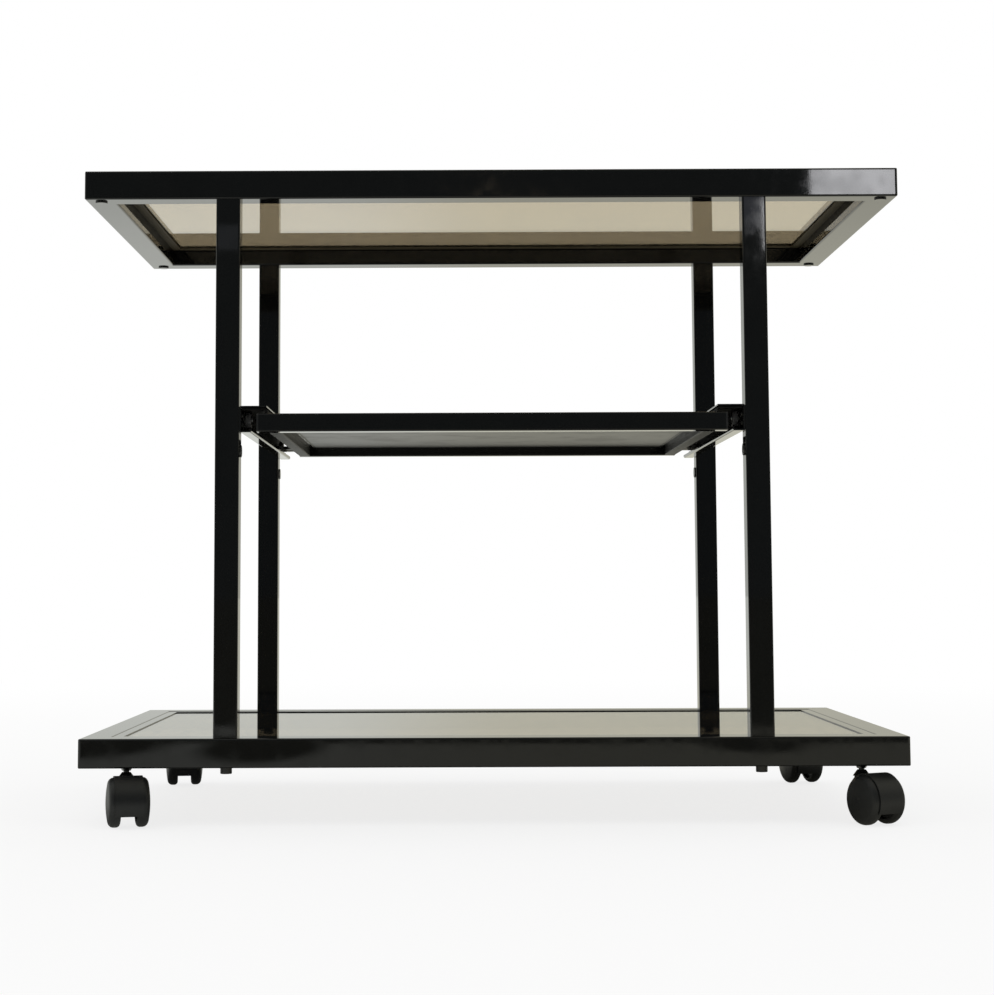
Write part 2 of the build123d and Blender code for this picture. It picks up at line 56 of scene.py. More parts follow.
class Slot(Enum):
    """The material slots of the cart, by their names in its record, and the shelf's own satin."""

    LACQUER = "black_lacquer"
    SATIN = "satin_lacquer"
    SLIDE = "slide_lacquer"
    RUNNER = "runner_paint"
    DULL = "dull_paint"
    GLASS = "smoked_glass"
    BOARD = "shelf_board"
    RUBBER = "black_rubber"
    PLASTIC = "black_plastic"
    BLACK_STEEL = "blackened_steel"
    ZINC = "zinc_steel"
    NYLON = "roller_nylon"
    CASTER = "caster_plastic"


class Level(Enum):
    """The two glazed frames of the cart."""

    TOP = "top"
    BOTTOM = "bottom"


class Edge(Enum):
    """The four sides of a frame or of the shelf."""

    FRONT = "front"
    RIGHT = "right"
    BACK = "back"
    LEFT = "left"


class Corner(Enum):
    """The four corners that carry a post and a caster."""

    FRONT_LEFT = "front_left"
    FRONT_RIGHT = "front_right"
    BACK_LEFT = "back_left"
    BACK_RIGHT = "back_right"


class Hand(Enum):
    """The two sides of the shelf slides and of a caster's wheel pair."""

    LEFT = "left"
    RIGHT = "right"


class Shader:
    """The node tree of one material, world or light, with short calls that add and join nodes."""

    def __init__(self, owner: Union[bpy.types.Material, bpy.types.World, bpy.types.Light]) -> None:
        """Switch the owner's nodes on and keep their tree.

        Args:
            owner: The material, world or light that the nodes belong to.
        """
        owner.use_nodes = True
        self.owner = owner
        self.tree = owner.node_tree

    @classmethod
    def for_slot(cls, slot: Slot) -> "Shader":
        """Start a new material that is named for a slot."""
        return cls(bpy.data.materials.new(slot.value))

    @property
    def surface(self) -> bpy.types.Node:
        """The material's surface node."""
        return self.tree.nodes["Principled BSDF"]

    def add(self, kind: str, **settings: object) -> bpy.types.Node:
        """Add a node and set its own options.

        Args:
            kind: The node's type name.
            settings: Options of the node, by attribute name.

        Returns:
            The new node.
        """
        node = self.tree.nodes.new(kind)
        for name, value in settings.items():
            setattr(node, name, value)
        return node

    def feed(self, socket: bpy.types.NodeSocket, value: Feed) -> None:
        """Join a socket to another one, or set its constant.

        Args:
            socket: The input to fill.
            value: An output socket, or a constant for the input.
        """
        if isinstance(value, bpy.types.NodeSocket):
            self.tree.links.new(value, socket)
        else:
            socket.default_value = value

    def set_surface(self, **values: Feed) -> None:
        """Fill inputs of the surface node, by the short names in SURFACE_INPUTS."""
        for name, value in values.items():
            self.feed(self.surface.inputs[SURFACE_INPUTS[name]], value)

    def place(self) -> bpy.types.NodeSocket:
        """The point on the piece, in metres of the cart's own frame."""
        return self.add("ShaderNodeTexCoord").outputs["Object"]

    def split(self, vector: bpy.types.NodeSocket) -> bpy.types.NodeOutputs:
        """Part a vector into its X, Y and Z.

        Args:
            vector: The vector to part.

        Returns:
            The three outputs, by axis name.
        """
        node = self.add("ShaderNodeSeparateXYZ")
        self.feed(node.inputs[0], vector)
        return node.outputs

    def facing(self, axis: str) -> bpy.types.NodeSocket:
        """How far the surface looks along one axis of the piece."""
        return self.split(self.add("ShaderNodeTexCoord").outputs["Normal"])[axis]

    def stretched(self, shares: Point) -> bpy.types.NodeSocket:
        """The point on the piece with each axis scaled, for grain that runs one way.

        Args:
            shares: The scale along X, Y and Z.

        Returns:
            The scaled point.
        """
        mapping = self.add("ShaderNodeMapping")
        self.feed(mapping.inputs["Vector"], self.place())
        self.feed(mapping.inputs["Scale"], shares)
        return mapping.outputs[0]

    def noise(self, size: float, detail: float = 3.0, at: Optional[bpy.types.NodeSocket] = None
              ) -> bpy.types.NodeSocket:
        """Cloudy noise.

        Args:
            size: The width of one cloud in metres.
            detail: How many finer layers it has.
            at: The point to read it at, or none for the point on the piece.

        Returns:
            A value from 0 to 1.
        """
        node = self.add("ShaderNodeTexNoise")
        self.feed(node.inputs["Vector"], at or self.place())
        self.feed(node.inputs["Scale"], 1.0 / size)
        self.feed(node.inputs["Detail"], detail)
        return node.outputs["Fac"]

    def specks(self, pitch: float, radius: float, share: float) -> bpy.types.NodeSocket:
        """Small round specks that lie here and there.

        Args:
            pitch: The usual distance between two places for a speck.
            radius: The radius of a speck in metres.
            share: How many of the places hold one, from 0 to 1.

        Returns:
            1 in a speck and 0 elsewhere.
        """
        cells = self.add("ShaderNodeTexVoronoi")
        self.feed(cells.inputs["Vector"], self.place())
        self.feed(cells.inputs["Scale"], 1.0 / pitch)
        rim = radius / pitch
        near = self.span(cells.outputs["Distance"], rim, SPECK_CORE * rim, 0.0, 1.0)
        split = self.add("ShaderNodeSeparateColor")
        self.feed(split.inputs[0], cells.outputs["Color"])
        chosen = self.maths("LESS_THAN", split.outputs[0], share)
        return self.maths("MULTIPLY", near, chosen)

    def span(self, value: Feed, low: float, high: float, to_low: float, to_high: float
             ) -> bpy.types.NodeSocket:
        """Map a range of a value softly on another range.

        Args:
            value: The value to map.
            low: Where the range starts.
            high: Where the range ends.
            to_low: What the start becomes.
            to_high: What the end becomes.

        Returns:
            The mapped value.
        """
        node = self.add("ShaderNodeMapRange", interpolation_type="SMOOTHSTEP")
        for name, item in (("Value", value), ("From Min", low), ("From Max", high),
                           ("To Min", to_low), ("To Max", to_high)):
            self.feed(node.inputs[name], item)
        return node.outputs["Result"]

    def maths(self, operation: str, first: Feed, second: Feed) -> bpy.types.NodeSocket:
        """Work out one sum of two values.

        Args:
            operation: The name of the sum, such as ADD or MULTIPLY.
            first: The first value.
            second: The second value.

        Returns:
            The result.
        """
        node = self.add("ShaderNodeMath", operation=operation)
        self.feed(node.inputs[0], first)
        self.feed(node.inputs[1], second)
        return node.outputs[0]

    def mix(self, share: Feed, first: Feed, second: Feed) -> bpy.types.NodeSocket:
        """Mix two colours.

        Args:
            share: How much of the second colour shows.
            first: The colour at share 0.
            second: The colour at share 1.

        Returns:
            The mixed colour.
        """
        node = self.add("ShaderNodeMix", data_type="RGBA")
        self.feed(node.inputs[MIX_SHARE], share)
        self.feed(node.inputs[MIX_FIRST], opaque(first))
        self.feed(node.inputs[MIX_SECOND], opaque(second))
        return node.outputs[MIX_RESULT]

    def bump(self, height: bpy.types.NodeSocket, depth: float,
             over: Optional[bpy.types.NodeSocket] = None) -> bpy.types.NodeSocket:
        """Turn a height into a bumped normal.

        Args:
            height: The height, from 0 to 1.
            depth: How deep 1 is, in metres.
            over: A normal that is bumped already, or none.

        Returns:
            The bumped normal.
        """
        node = self.add("ShaderNodeBump")
        self.feed(node.inputs["Distance"], depth)
        self.feed(node.inputs["Height"], height)
        if over is not None:
            self.feed(node.inputs["Normal"], over)
        return node.outputs["Normal"]


SURFACE_INPUTS = {
    "colour": "Base Color",
    "metallic": "Metallic",
    "roughness": "Roughness",
    "ior": "IOR",
    "transmission": "Transmission Weight",
    "normal": "Normal",
}


def opaque(value: Feed) -> Feed:
    """Give a plain colour its alpha, and pass a socket on."""
    return (*value, 1.0) if isinstance(value, tuple) else value


@dataclass(frozen=True)
class Lacquer:
    """Black lacquer on steel, a little wavy, with dust on what looks up."""

    slot: Slot
    tone: Colour = (0.0030, 0.0032, 0.0030)
    cloud_tone: Colour = (0.005, 0.0051, 0.0046)
    cloud_size: float = 0.03
    dust_tone: Colour = (0.16, 0.15, 0.13)
    dust_share: float = 0.05
    dust_least: float = 0.3
    dust_slope: Span = (0.5, 0.95)
    dust_size: float = 0.004
    dust_span: Span = (0.35, 0.7)
    gloss: float = 0.03
    haze: float = 0.07
    rub_size: float = 0.018
    rub_detail: float = 5.0
    rub_span: Span = (0.4, 0.72)
    ior: float = 1.4
    wave_size: float = 0.2
    wave_depth: float = 0.0004
    peel_size: float = 0.0016
    peel_depth: float = 0.000002

    def material(self) -> bpy.types.Material:
        """Make the lacquer.

        Returns:
            The finished material.
        """
        shader = Shader.for_slot(self.slot)
        body = shader.mix(shader.noise(self.cloud_size), self.tone, self.cloud_tone)
        upward = shader.span(shader.facing("Z"), *self.dust_slope, 0.0, self.dust_share)
        patches = shader.span(shader.noise(self.dust_size), *self.dust_span, self.dust_least, 1.0)
        settled = shader.maths("MULTIPLY", upward, patches)
        waves = shader.bump(shader.noise(self.wave_size, SMOOTH), self.wave_depth)
        peel = shader.bump(shader.noise(self.peel_size, SMOOTH), self.peel_depth, waves)
        shader.set_surface(colour=shader.mix(settled, body, self.dust_tone), roughness=self.rubbing(shader),
                           ior=self.ior, normal=peel)
        return shader.owner

    def rubbing(self, shader: Shader) -> bpy.types.NodeSocket:
        """How rough wiping has left the lacquer, from gloss to haze."""
        wiping = shader.noise(self.rub_size, self.rub_detail)
        return shader.span(wiping, *self.rub_span, self.gloss, self.haze)


@dataclass(frozen=True)
class TrackLacquer(Lacquer):
    """The lacquer of the slide tracks, dull with grease on the web, where the rollers run."""

    slot: Slot = Slot.SLIDE
    tone: Colour = (0.005, 0.005, 0.0048)
    cloud_tone: Colour = (0.009, 0.009, 0.0085)
    gloss: float = 0.04
    haze: float = 0.09
    wave_depth: float = 0.00003
    grease: float = 0.85
    web_span: Span = (-0.258, -0.252)

    def rubbing(self, shader: Shader) -> bpy.types.NodeSocket:
        """Make the web dull where it looks to the middle of the cart, and leave the lips as they are.

        Args:
            shader: The tracks' shader.

        Returns:
            The roughness.
        """
        outward = shader.maths("MULTIPLY", shader.split(shader.place())["X"], shader.facing("X"))
        greased = shader.span(outward, *self.web_span, self.grease, 0.0)
        return shader.maths("MAXIMUM", super().rubbing(shader), greased)


@dataclass(frozen=True)
class SmokedGlass:
    """Brown smoked float glass with a few dust specks and a wiped film."""

    slot: Slot = Slot.GLASS
    tint: Colour = (0.37, 0.3, 0.185)
    dust_tone: Colour = (0.5, 0.47, 0.42)
    ior: float = 1.5
    gloss: float = 0.01
    haze: float = 0.05
    film: float = 0.05
    film_size: float = 0.06
    film_detail: float = 4.0
    film_shares: Point = (1.0, 0.3, 1.0)
    film_span: Span = (0.4, 0.75)
    speck_pitch: float = 0.022
    speck_radius: float = 0.0006
    speck_share: float = 0.3

    def material(self) -> bpy.types.Material:
        """Make the glass.

        Returns:
            The finished material.
        """
        shader = Shader.for_slot(self.slot)
        specks = shader.specks(self.speck_pitch, self.speck_radius, self.speck_share)
        smears = shader.noise(self.film_size, self.film_detail, shader.stretched(self.film_shares))
        wiped = shader.span(smears, *self.film_span, 0.0, self.film)
        dust = shader.maths("MAXIMUM", specks, wiped)
        shader.set_surface(colour=shader.mix(dust, self.tint, self.dust_tone),
                           roughness=shader.span(dust, 0.0, 1.0, self.gloss, self.haze), ior=self.ior,
                           transmission=shader.maths("SUBTRACT", 1.0, dust))
        return shader.owner


@dataclass(frozen=True)
class Board:
    """The satin black foil of the shelf panel, with a fine pressed grain."""

    slot: Slot = Slot.BOARD
    tone: Colour = (0.012, 0.012, 0.0105)
    worn_tone: Colour = (0.019, 0.0185, 0.0165)
    gloss: float = 0.33
    haze: float = 0.39
    ior: float = 1.34
    wear_size: float = 0.05
    wear_detail: float = 5.0
    wear_span: Span = (0.4, 0.75)
    grain_size: float = 0.0011
    grain_detail: float = 2.0
    grain_depth: float = 0.00001

    def material(self) -> bpy.types.Material:
        """Make the board's foil.

        Returns:
            The finished material.
        """
        shader = Shader.for_slot(self.slot)
        wear = shader.span(shader.noise(self.wear_size, self.wear_detail), *self.wear_span, 0.0, 1.0)
        grain = shader.bump(shader.noise(self.grain_size, self.grain_detail), self.grain_depth)
        shader.set_surface(colour=shader.mix(wear, self.tone, self.worn_tone),
                           roughness=shader.span(wear, 0.0, 1.0, self.gloss, self.haze),
                           ior=self.ior, normal=grain)
        return shader.owner


@dataclass(frozen=True)
class Moulding:
    """Moulded plastic, nylon, rubber or dull paint with a fine texture and scuffs."""

    slot: Slot
    tone: Colour
    scuff_tone: Colour
    gloss: float
    haze: float
    ior: float
    scuff_size: float = 0.006
    scuff_detail: float = 6.0
    scuff_span: Span = (0.5, 0.75)
    texture_size: float = 0.0006
    texture_detail: float = 2.0
    texture_depth: float = 0.00002

    def material(self) -> bpy.types.Material:
        """Make the moulding.

        Returns:
            The finished material.
        """
        shader = Shader.for_slot(self.slot)
        scuffs = shader.span(shader.noise(self.scuff_size, self.scuff_detail), *self.scuff_span, 0.0, 1.0)
        texture = shader.bump(shader.noise(self.texture_size, self.texture_detail), self.texture_depth)
        shader.set_surface(colour=shader.mix(scuffs, self.tone, self.scuff_tone),
                           roughness=shader.span(scuffs, 0.0, 1.0, self.gloss, self.haze),
                           ior=self.ior, normal=texture)
        return shader.owner


@dataclass(frozen=True)
class Steel:
    """Blackened or zinc-plated steel with a mottled skin."""

    slot: Slot
    tone: Colour
    mottle_tone: Colour
    gloss: float
    haze: float
    mottle_size: float = 0.0025
    mottle_detail: float = 4.0
    mottle_span: Span = (0.35, 0.7)

    def material(self) -> bpy.types.Material:
        """Make the steel.

        Returns:
            The finished material.
        """
        shader = Shader.for_slot(self.slot)
        skin = shader.noise(self.mottle_size, self.mottle_detail)
        mottle = shader.span(skin, *self.mottle_span, 0.0, 1.0)
        shader.set_surface(colour=shader.mix(mottle, self.tone, self.mottle_tone), metallic=1.0,
                           roughness=shader.span(mottle, 0.0, 1.0, self.gloss, self.haze))
        return shader.owner


Finish = Union[Lacquer, SmokedGlass, Board, Moulding, Steel]

FINISHES: tuple[Finish, ...] = (
    Lacquer(Slot.LACQUER),
    TrackLacquer(),
    Moulding(Slot.SATIN, tone=(0.02, 0.02, 0.017), scuff_tone=(0.028, 0.028, 0.024), gloss=0.5, haze=0.62,
             ior=1.32, texture_depth=0.000004),
    Moulding(Slot.RUNNER, tone=(0.006, 0.006, 0.0055), scuff_tone=(0.01, 0.01, 0.009), gloss=0.7, haze=0.85,
             ior=1.15),
    SmokedGlass(),
    Board(),
    Moulding(Slot.DULL, tone=(0.085, 0.072, 0.042), scuff_tone=(0.11, 0.095, 0.06), gloss=0.7, haze=0.85,
             ior=1.25, texture_depth=0.000005),
    Moulding(Slot.RUBBER, tone=(0.012, 0.012, 0.012), scuff_tone=(0.03, 0.03, 0.029), gloss=0.6, haze=0.8,
             ior=1.4),
    Moulding(Slot.PLASTIC, tone=(0.016, 0.016, 0.015), scuff_tone=(0.024, 0.024, 0.022), gloss=0.12,
             haze=0.25, ior=1.45, texture_depth=0.000002),
    Moulding(Slot.NYLON, tone=(0.14, 0.14, 0.135), scuff_tone=(0.2, 0.2, 0.19), gloss=0.4, haze=0.55,
             ior=1.45, scuff_size=0.003),
    Moulding(Slot.CASTER, tone=(0.006, 0.0067, 0.0067), scuff_tone=(0.01, 0.0105, 0.01), gloss=0.46,
             haze=0.58, ior=1.48, scuff_size=0.008),
    Steel(Slot.BLACK_STEEL, tone=(0.04, 0.04, 0.04), mottle_tone=(0.07, 0.068, 0.064), gloss=0.3, haze=0.5),
    Steel(Slot.ZINC, tone=(0.56, 0.57, 0.58), mottle_tone=(0.4, 0.4, 0.39), gloss=0.28, haze=0.46),
)


class Wardrobe:
    """One material for each slot, and the slot that the record gives each CAD node."""

    def __init__(self, finishes: Iterable[Finish], record: dict) -> None:
        """Make every finish once and read the nodes' slots.

        Args:
            finishes: The finishes of the cart.
            record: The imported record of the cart.
        """
        self.materials = {finish.slot: finish.material() for finish in finishes}
        self.slots = {part["node"]: Slot(part["material_slot"]) for part in record["subparts"]}
        self.slots.update({f"shelf_{edge.value}_rail": Slot.SATIN for edge in (Edge.LEFT, Edge.RIGHT)})

    def dress(self, name: str, node: bpy.types.Object) -> None:
        """Put a node's finish on all its material slots.

        Args:
            name: The node's name in the record.
            node: The node's object.
        """
        slot = self.slots[name]
        if not node.material_slots:
            node.data.materials.append(None)
        for holder in node.material_slots:
            holder.material = self.materials[slot]
        LOG.info("%s wears %s", name, slot.value)


class Assembly(ABC):
    """A group of CAD nodes that belong together."""

    @abstractmethod
    def nodes(self) -> list[str]:
        """The names of the group's nodes."""

    def dress(self, objects: dict[str, bpy.types.Object], wardrobe: Wardrobe) -> None:
        """Dress every node of the group.

        Args:
            objects: The CAD nodes by name.
            wardrobe: The finishes to pick from.
        """
        for name in self.nodes():
            wardrobe.dress(name, objects[name])


@dataclass
class GlazedFrame(Assembly):
    """The top or the bottom frame: rails, ledges, glazing beads and a pane."""

    level: Level

    def nodes(self) -> list[str]:
        """The rails of the frame and what lies in its bed."""
        name = self.level.value
        rails = [f"{name}_{edge.value}_rail" for edge in Edge]
        return [*rails, f"{name}_glass_ledges", f"{name}_glass", f"{name}_glazing_beads"]


@dataclass
class Posts(Assembly):
    """The four posts, what fastens them, and the small parts of the frames."""

    def nodes(self) -> list[str]:
        """The posts, their bolts and the plugs, tapes and sockets."""
        posts = [f"{corner.value}_post" for corner in Corner]
        return [*posts, "post_inserts", "post_washers", "post_bolts", "caster_sockets", "hole_plugs",
                "glass_tapes"]


@dataclass
class Slide(Assembly):
    """The roller slide on one side of the shelf."""

    hand: Hand

    def nodes(self) -> list[str]:
        """The track, the runner and both rollers."""
        return [f"{self.hand.value}_{piece}" for piece in ("track", "runner", "front_roller", "rear_roller")]


@dataclass
class SlideFixings(Assembly):
    """The rivets and screws of both slides."""

    def nodes(self) -> list[str]:
        """The axles of the rollers and the screws."""
        return ["front_roller_axles", "rear_roller_axles", "track_screws", "runner_screws"]


@dataclass
class Shelf(Assembly):
    """The pull-out shelf between the posts."""

    def nodes(self) -> list[str]:
        """The rails, caps, ledges and panel of the shelf."""
        rails = [f"shelf_{edge.value}_rail" for edge in Edge]
        return [*rails, "shelf_end_caps", "shelf_ledges", "shelf_panel"]


@dataclass
class Caster(Assembly):
    """One hooded twin-wheel caster."""

    corner: Corner

    def nodes(self) -> list[str]:
        """The hood, the pins and both wheels."""
        name = f"{self.corner.value}_caster"
        return [f"{name}_hood", f"{name}_pins", *(f"{name}_{hand.value}_wheel" for hand in Hand)]


@dataclass(frozen=True)
class Lamp:
    """A flat lamp in front of the cart that faces it squarely.

    Attributes:
        name: What the lamp is called.
        place: The middle of its face.
        width: The width of its face.
        height: The height of its face.
        radiance: How bright its face is.
        tint: The colour of its light.
        crease: How far creases in its cloth raise or lower that brightness.
        crease_size: The width of one crease.
        crease_span: The range of the creases from dimmest to brightest.
        shown_on: The CAD nodes that mirror it.
    """

    name: str
    place: Point
    width: float
    height: float
    radiance: float
    tint: Colour = WHITE
    crease: float = 0.0
    crease_size: float = 0.03
    crease_span: Span = (0.35, 0.65)
    shown_on: tuple[str, ...] = ()

    def hang(self, objects: dict[str, bpy.types.Object]) -> None:
        """Hang the lamp where only the gloss of its own pieces shows it.

        Args:
            objects: The CAD nodes by name.
        """
        light = bpy.data.lights.new(self.name, "AREA")
        light.shape = "RECTANGLE"
        light.size = self.width
        light.size_y = self.height
        light.energy = math.pi * self.width * self.height * self.radiance
        light.color = self.tint
        if self.crease:
            self.crumple(light)
        holder = bpy.data.objects.new(self.name, light)
        holder.location = self.place
        holder.rotation_euler = (math.pi / 2, 0.0, 0.0)
        holder.visible_camera = False
        holder.visible_diffuse = False
        holder.visible_transmission = False
        holder.light_linking.receiver_collection = self.receivers(objects)
        bpy.context.scene.collection.objects.link(holder)
        LOG.info("%s hangs at %s", self.name, self.place)

    def receivers(self, objects: dict[str, bpy.types.Object]) -> bpy.types.Collection:
        """Gather the pieces that show the lamp.

        Args:
            objects: The CAD nodes by name.

        Returns:
            A collection of those pieces.
        """
        group = bpy.data.collections.new(f"{self.name}_receivers")
        for name in self.shown_on:
            group.objects.link(objects[name])
        return group

    def crumple(self, light: bpy.types.Light) -> None:
        """Let the lamp's cloth glow unevenly, in soft creases.

        Args:
            light: The lamp's light.
        """
        shader = Shader(light)
        spot = shader.add("ShaderNodeNewGeometry").outputs["Position"]
        folds = shader.noise(self.crease_size, at=spot)
        glow = shader.span(folds, *self.crease_span, 1.0 - self.crease, 1.0 + self.crease)
        shader.feed(shader.tree.nodes["Emission"].inputs["Strength"], glow)


LAMPS: tuple[Lamp, ...] = (
    Lamp("softbox", place=(0.815, -2.2, 1.065), width=0.29, height=0.17, radiance=13.5,
         tint=(0.97, 0.97, 1.0), crease=0.15, shown_on=("top_front_rail",)),
    Lamp("softbox_rim", place=(0.56, -2.2, 0.985), width=0.12, height=0.07, radiance=0.7,
         tint=(0.8, 0.84, 1.0), shown_on=("front_right_post",)),
    Lamp("softbox_foot", place=(0.637, -2.19, 0.957), width=0.13, height=0.108, radiance=13.0,
         tint=(0.97, 0.97, 0.98), shown_on=("front_right_post",)),
    Lamp("window_glow", place=(-0.5, -2.2, 0.94), width=0.07, height=0.05, radiance=0.35,
         tint=(0.85, 0.9, 1.0), shown_on=("front_left_post",)),
    Lamp("room_lamp", place=(0.22, -12.24, 2.687), width=0.26, height=0.056, radiance=60.0,
         tint=(1.0, 0.8, 0.55), shown_on=("top_back_rail", "top_front_rail")),
)


@dataclass(frozen=True)
class Blot:
    """A dim oval on the paper in front of the cart, full up to its core and gone at its rim."""

    across: float
    along: float
    half_width: float
    half_length: float
    core: float = 0.7
    rim: float = 1.2

    def clear(self, shader: Shader, point: bpy.types.NodeOutputs) -> bpy.types.NodeSocket:
        """Say how clear of the oval a place is.

        Args:
            shader: The floor's shader.
            point: The place on the floor, by axis name.

        Returns:
            0 inside the oval and 1 outside.
        """
        squares = []
        for axis, middle, half in (("X", self.across, self.half_width), ("Y", self.along, self.half_length)):
            off = shader.maths("DIVIDE", shader.maths("SUBTRACT", point[axis], middle), half)
            squares.append(shader.maths("MULTIPLY", off, off))
        radius = shader.maths("SQRT", shader.maths("ADD", *squares), 0.0)
        return shader.span(radius, self.core, self.rim, 0.0, 1.0)


@dataclass
class Studio:
    """The pale floor and the soft light around the cart.

    Attributes:
        floor_reach: Half the width of the floor.
        paper_tone: The colour of the floor's paper.
        paper_roughness: How dull the paper is.
        paper_front: Where the bright paper ends in front, as gloss mirrors it.
        paper_fade: How softly it ends there.
        blots: Dim ovals on the paper, as gloss mirrors it.
        shade_size: Half the width and half the depth of the dim place under the cart.
        shade_fade: How softly that place ends.
        shade_tone: How bright that place is.
        glass_shadow_tone: How bright the painted shadow on the floor at the cart is, seen through glass.
        glass_shadow_reach: How far off that painted shadow starts to brighten, and where it is white.
        left_tint: What gloss mirrors on the left.
        right_tint: What gloss mirrors on the right.
        tint_floor_span: Where one tint goes over into the other on the floor.
        tint_sky_span: The same in the sky, as a direction.
        room_tone: The dim room in front, as gloss mirrors it.
        room_floor_tone: The floor of that room.
        wall_shade: How bright gloss mirrors the wall behind.
        sky_tilt: How much looking up counts as looking back.
        sky_span: Where the room in front ends and where the wall behind starts.
        front_fill: How brightly the room in front shines.
        back_fill: How brightly the wall behind shines.
        glow_share: How much of the floor at the cart is plain white to look at.
        glow_reach: How far off that share starts to grow, and where all of it is white.
    """

    floor_reach: float = 30.0
    paper_tone: Colour = (0.93, 0.93, 0.925)
    paper_roughness: float = 0.9
    paper_front: float = -1.62
    paper_fade: float = 0.06
    blots: tuple[Blot, ...] = (Blot(0.0, -1.352, 3.0, 0.066), Blot(-0.6, -1.275, 0.125, 0.225),
                               Blot(-0.33, -1.21, 0.095, 0.25), Blot(0.405, -1.3, 0.085, 0.19))
    shade_size: Span = (0.4, 0.21)
    shade_fade: float = 0.12
    shade_tone: float = 0.1
    # Painted shadow: the floor near the cart is dimmed only where it is seen through glass.
    glass_shadow_tone: float = 0.2
    glass_shadow_reach: Span = (1.3, 2.3)
    left_tint: Colour = (0.883, 0.9, 0.844)
    right_tint: Colour = (0.748, 0.735, 0.621)
    tint_floor_span: Span = (-0.46, 0.13)
    tint_sky_span: Span = (-0.08, 0.03)
    room_tone: Colour = (0.105, 0.12, 0.128)
    room_floor_tone: Colour = (0.12, 0.12, 0.1)
    wall_shade: float = 0.78
    sky_tilt: float = 0.9
    sky_span: Span = (-0.4, 0.3)
    front_fill: float = 0.4
    back_fill: float = 1.0
    glow_share: float = 0.8
    glow_reach: Span = (0.8, 3.0)

    def lay_floor(self) -> None:
        """Lay the floor, white in front of the camera, with the cart's soft shadow on it."""
        reach = self.floor_reach
        mesh = bpy.data.meshes.new("studio_floor")
        corners = [(-reach, -reach, FLOOR_Z), (reach, -reach, FLOOR_Z),
                   (reach, reach, FLOOR_Z), (-reach, reach, FLOOR_Z)]
        mesh.from_pydata(corners, [], [(0, 1, 2, 3)])
        floor = bpy.data.objects.new("studio_floor", mesh)
        bpy.context.scene.collection.objects.link(floor)
        mesh.materials.append(self.floor_material())

    def laid(self, shader: Shader, point: bpy.types.NodeOutputs) -> bpy.types.NodeSocket:
        """Where gloss mirrors bright paper: up to its front edge, but for the blots.

        Args:
            shader: The floor's shader.
            point: The place on the floor, by axis name.

        Returns:
            1 on bright paper and 0 elsewhere.
        """
        half = self.paper_fade / 2
        bright = shader.span(point["Y"], self.paper_front - half, self.paper_front + half, 0.0, 1.0)
        for blot in self.blots:
            bright = shader.maths("MULTIPLY", bright, blot.clear(shader, point))
        return bright

    def open_floor(self, shader: Shader, point: bpy.types.NodeOutputs) -> bpy.types.NodeSocket:
        """How open to the light the floor is: dim under the cart, full beside it.

        Args:
            shader: The floor's shader.
            point: The place on the floor, by axis name.

        Returns:
            A share from the shade's tone to 1.
        """
        sides = []
        for axis, half in zip(("X", "Y"), self.shade_size):
            off = shader.maths("ABSOLUTE", point[axis], 0.0)
            sides.append(shader.span(off, half, half + self.shade_fade, self.shade_tone, 1.0))
        return shader.maths("MAXIMUM", *sides)

    def tint(self, shader: Shader, across: bpy.types.NodeSocket, reach: Span) -> bpy.types.NodeSocket:
        """The colour that gloss mirrors, from the left of the room to the right.

        Args:
            shader: The shader of the floor or of the sky.
            across: The place or direction across the room.
            reach: Where the left colour ends and the right one starts.

        Returns:
            The colour.
        """
        share = shader.span(across, *reach, 0.0, 1.0)
        return shader.mix(share, self.left_tint, self.right_tint)

    def mirrored_paper(self, shader: Shader) -> bpy.types.NodeSocket:
        """The floor as gloss mirrors it: tinted paper with the cart's shade and the blots on it.

        Args:
            shader: The floor's shader.

        Returns:
            The colour.
        """
        point = shader.split(shader.place())
        tint = self.tint(shader, point["X"], self.tint_floor_span)
        sheet = shader.mix(self.open_floor(shader, point), BLACK, tint)
        return shader.mix(self.laid(shader, point), self.room_floor_tone, sheet)

    def floor_material(self) -> bpy.types.Material:
        """Make the floor's paper.

        Returns:
            The material: paper that takes the cart's soft shadow and grows white away from it,
            with a painted shadow near the cart where it is seen through glass, and a tinted sheet of its own
            for gloss.
        """
        shader = Shader(bpy.data.materials.new("studio_paper"))
        shader.set_surface(colour=opaque(self.paper_tone), roughness=self.paper_roughness)
        path = shader.add("ShaderNodeLightPath").outputs
        length = shader.add("ShaderNodeVectorMath", operation="LENGTH")
        shader.feed(length.inputs[0], shader.place())
        away = length.outputs["Value"]
        mirrored = shader.maths("GREATER_THAN", path["Is Glossy Ray"], path["Is Transmission Ray"])
        # Painted shadow: dark near the cart, white farther off, used only for rays through glass.
        under = shader.span(away, *self.glass_shadow_reach, self.glass_shadow_tone, 1.0)
        through = shader.mix(path["Is Transmission Ray"], WHITE, shader.mix(under, BLACK, WHITE))
        glow = shader.add("ShaderNodeEmission")
        shader.feed(glow.inputs["Color"], shader.mix(mirrored, through, self.mirrored_paper(shader)))
        fade = shader.span(away, *self.glow_reach, self.glow_share, 1.0)
        seen = shader.maths("MAXIMUM", path["Is Camera Ray"], path["Is Transmission Ray"])
        share = shader.maths("MAXIMUM", shader.maths("MULTIPLY", seen, fade), mirrored)
        blend = shader.add("ShaderNodeMixShader")
        shader.feed(blend.inputs[0], share)
        shader.feed(blend.inputs[1], shader.surface.outputs[0])
        shader.feed(blend.inputs[2], glow.outputs[0])
        shader.feed(shader.tree.nodes["Material Output"].inputs["Surface"], blend.outputs[0])
        return shader.owner

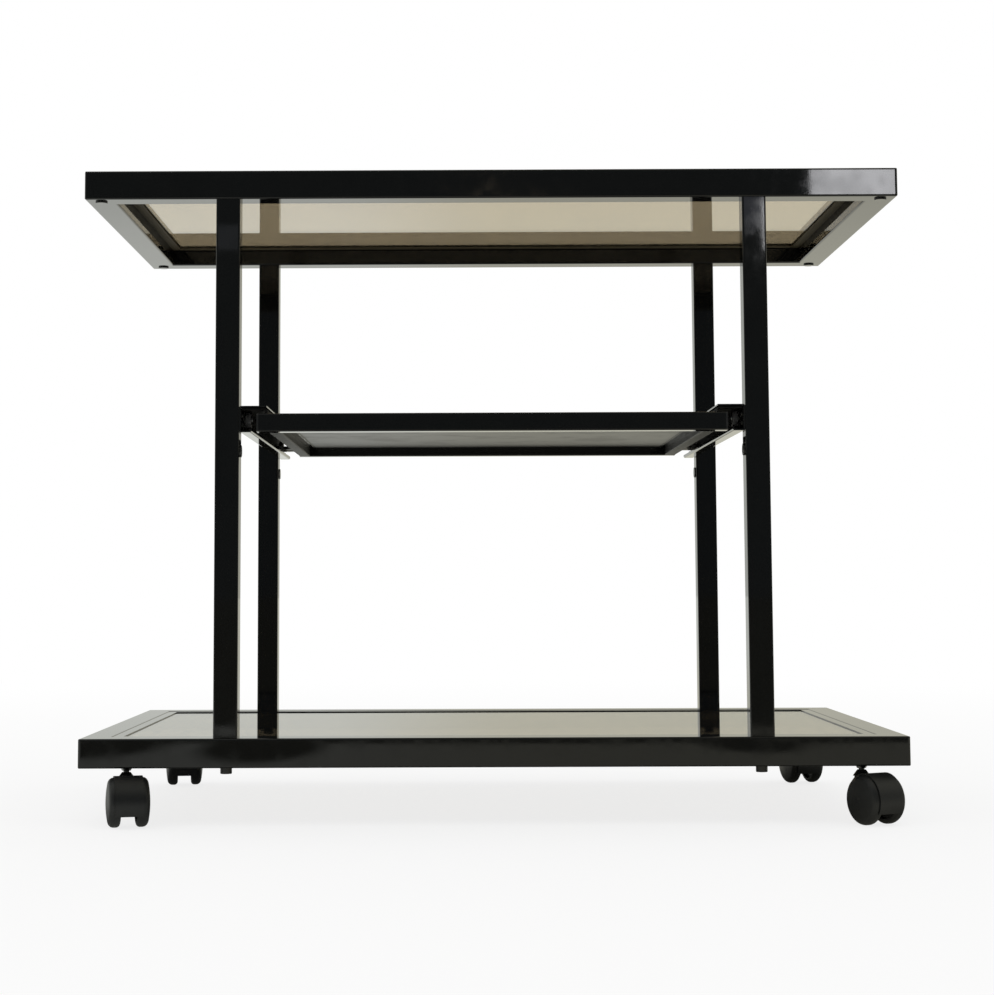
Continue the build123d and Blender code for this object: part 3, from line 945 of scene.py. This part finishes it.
    def hang_sky(self) -> None:
        """Surround the cart with soft light: white to look at, dimmer towards the room in front."""
        shader = Shader(bpy.data.worlds.new("studio_light"))
        bpy.context.scene.world = shader.owner
        path = shader.add("ShaderNodeLightPath").outputs
        ray = shader.split(shader.add("ShaderNodeTexCoord").outputs["Generated"])
        tilt = shader.maths("ADD", ray["Y"], shader.maths("MULTIPLY", ray["Z"], self.sky_tilt))
        back = shader.span(tilt, *self.sky_span, 0.0, 1.0)
        wall = shader.mix(1.0 - self.wall_shade, self.tint(shader, ray["X"], self.tint_sky_span), BLACK)
        gloss = shader.mix(back, self.room_tone, wall)
        fill = shader.mix(back, (self.front_fill,) * 3, (self.back_fill,) * 3)
        seen = shader.maths("MAXIMUM", path["Is Camera Ray"], path["Is Transmission Ray"])
        shade = shader.mix(seen, shader.mix(path["Is Glossy Ray"], fill, gloss), WHITE)
        shader.feed(shader.tree.nodes["Background"].inputs["Color"], shade)


@dataclass
class Viewpoint:
    """The camera, where the photograph was taken from, with its angles in degrees."""

    image_width: float = 994.0
    image_height: float = 995.0
    focal_pixels: float = 2050.6
    centre_pixel: tuple[float, float] = (455.6, 397.9)
    place: Point = (-0.03067, -2.35452, 0.2472)
    yaw: float = -0.19
    pitch: float = 5.12
    roll: float = -0.22
    sensor: float = 36.0

    def stand(self) -> None:
        """Make the camera and give it to the scene."""
        data = bpy.data.cameras.new("viewpoint")
        data.sensor_fit = "HORIZONTAL"
        data.sensor_width = self.sensor
        data.lens = self.focal_pixels / self.image_width * self.sensor
        data.shift_x = (self.image_width / 2 - self.centre_pixel[0]) / self.image_width
        data.shift_y = (self.centre_pixel[1] - self.image_height / 2) / self.image_width
        camera = bpy.data.objects.new("viewpoint", data)
        camera.matrix_world = self.stance()
        bpy.context.scene.collection.objects.link(camera)
        bpy.context.scene.camera = camera

    def stance(self) -> Matrix:
        """Where the camera stands and how it is turned.

        Returns:
            The camera's world matrix.
        """
        yaw, pitch, roll = (math.radians(angle) for angle in (self.yaw, self.pitch, self.roll))
        ahead = Vector((math.sin(yaw) * math.cos(pitch), math.cos(yaw) * math.cos(pitch), math.sin(pitch)))
        level = Vector((math.cos(yaw), -math.sin(yaw), 0.0))
        upward = level.cross(ahead)
        right = math.cos(roll) * level + math.sin(roll) * upward
        top = math.cos(roll) * upward - math.sin(roll) * level
        turn = Matrix((right, top, -ahead)).transposed().to_4x4()
        return Matrix.Translation(self.place) @ turn


def main() -> None:
    """Load the cart, dress each piece, set up the studio and stand the camera."""
    logging.basicConfig(level=logging.INFO, format="%(message)s")
    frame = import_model()
    wardrobe = Wardrobe(FINISHES, frame["record"])
    assemblies = [*(GlazedFrame(level) for level in Level), Posts(), *(Slide(hand) for hand in Hand),
                  SlideFixings(), Shelf(), *(Caster(corner) for corner in Corner)]
    for assembly in assemblies:
        assembly.dress(frame["nodes"], wardrobe)
    studio = Studio()
    studio.lay_floor()
    studio.hang_sky()
    for lamp in LAMPS:
        lamp.hang(frame["nodes"])
    Viewpoint().stand()
    bpy.context.scene.view_settings.view_transform = "Standard"


if __name__ == "__main__":
    main()
